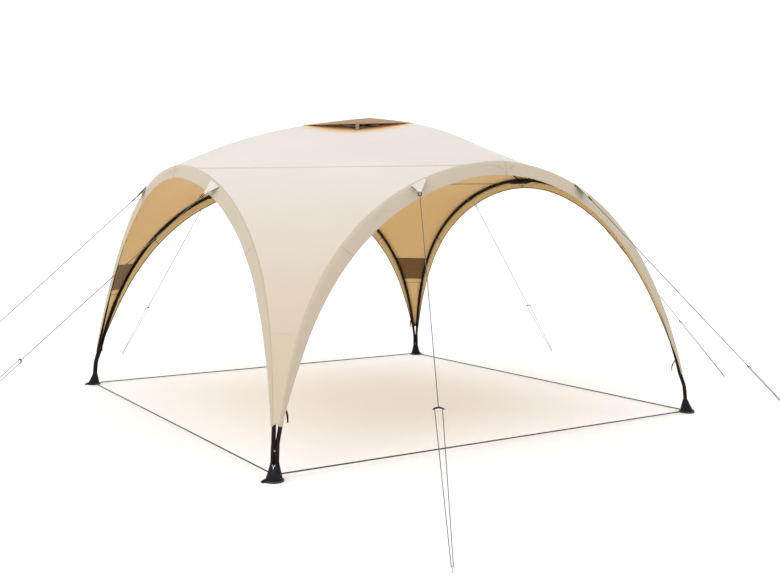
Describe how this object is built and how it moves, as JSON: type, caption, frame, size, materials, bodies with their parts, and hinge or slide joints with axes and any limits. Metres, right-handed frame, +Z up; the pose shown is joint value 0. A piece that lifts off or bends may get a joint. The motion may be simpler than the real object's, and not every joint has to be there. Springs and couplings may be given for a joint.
{
  "type": "dome party pavilion",
  "caption": "Open dome shelter: fabric roof on arched poles over an open square floor, with corner legs, vented crown, ground straps and staked guy lines.",
  "frame": {"origin": "on the ground, below the middle of the crown", "axes": "+Z up, +X and +Y along the square's sides, the front doorway faces -Y"},
  "size_m": [6.608, 6.608, 2.2695],
  "materials": {
    "canvas": "pale cream coated polyester, plain weave, tan on its inner face",
    "vent_cloth": "tan woven polyester",
    "pocket_cloth": "dark brown mesh cloth",
    "pole": "black painted steel tube, satin",
    "rib": "black glass-fibre rod",
    "foot": "black moulded plastic",
    "prop": "pale stiff webbing",
    "webbing": "dark grey woven strap",
    "guy": "light grey braided cord with grey plastic slider and steel peg"
  },
  "bodies": {
    "root": {"foot_front_left": "foot", "foot_front_right": "foot", "foot_back_right": "foot", "foot_back_left": "foot", "front_leg_left": "pole", "front_leg_right": "pole", "right_leg_left": "pole", "right_leg_right": "pole", "back_leg_left": "pole", "back_leg_right": "pole", "left_leg_left": "pole", "left_leg_right": "pole", "front_arch_pole": "pole", "right_arch_pole": "pole", "back_arch_pole": "pole", "left_arch_pole": "pole", "roof_rib_front_back": "rib", "roof_rib_left_right": "rib", "roof_panel": "canvas", "corner_panel_front_left": "canvas", "corner_panel_front_right": "canvas", "corner_panel_back_right": "canvas", "corner_panel_back_left": "canvas", "eave_band_front": "canvas", "eave_band_right": "canvas", "eave_band_back": "canvas", "eave_band_left": "canvas", "vent_cap": "vent_cloth", "vent_prop_front_left": "prop", "vent_prop_front_right": "prop", "vent_prop_back_right": "prop", "vent_prop_back_left": "prop", "pocket_front_left": "pocket_cloth", "pocket_front_right": "pocket_cloth", "pocket_back_right": "pocket_cloth", "pocket_back_left": "pocket_cloth", "front_ground_strap": "webbing", "right_ground_strap": "webbing", "back_ground_strap": "webbing", "left_ground_strap": "webbing", "front_guy_left": "guy", "front_guy_right": "guy", "right_guy_left": "guy", "right_guy_right": "guy", "back_guy_left": "guy", "back_guy_right": "guy", "left_guy_left": "guy", "left_guy_right": "guy"}
  },
  "joints": []
}
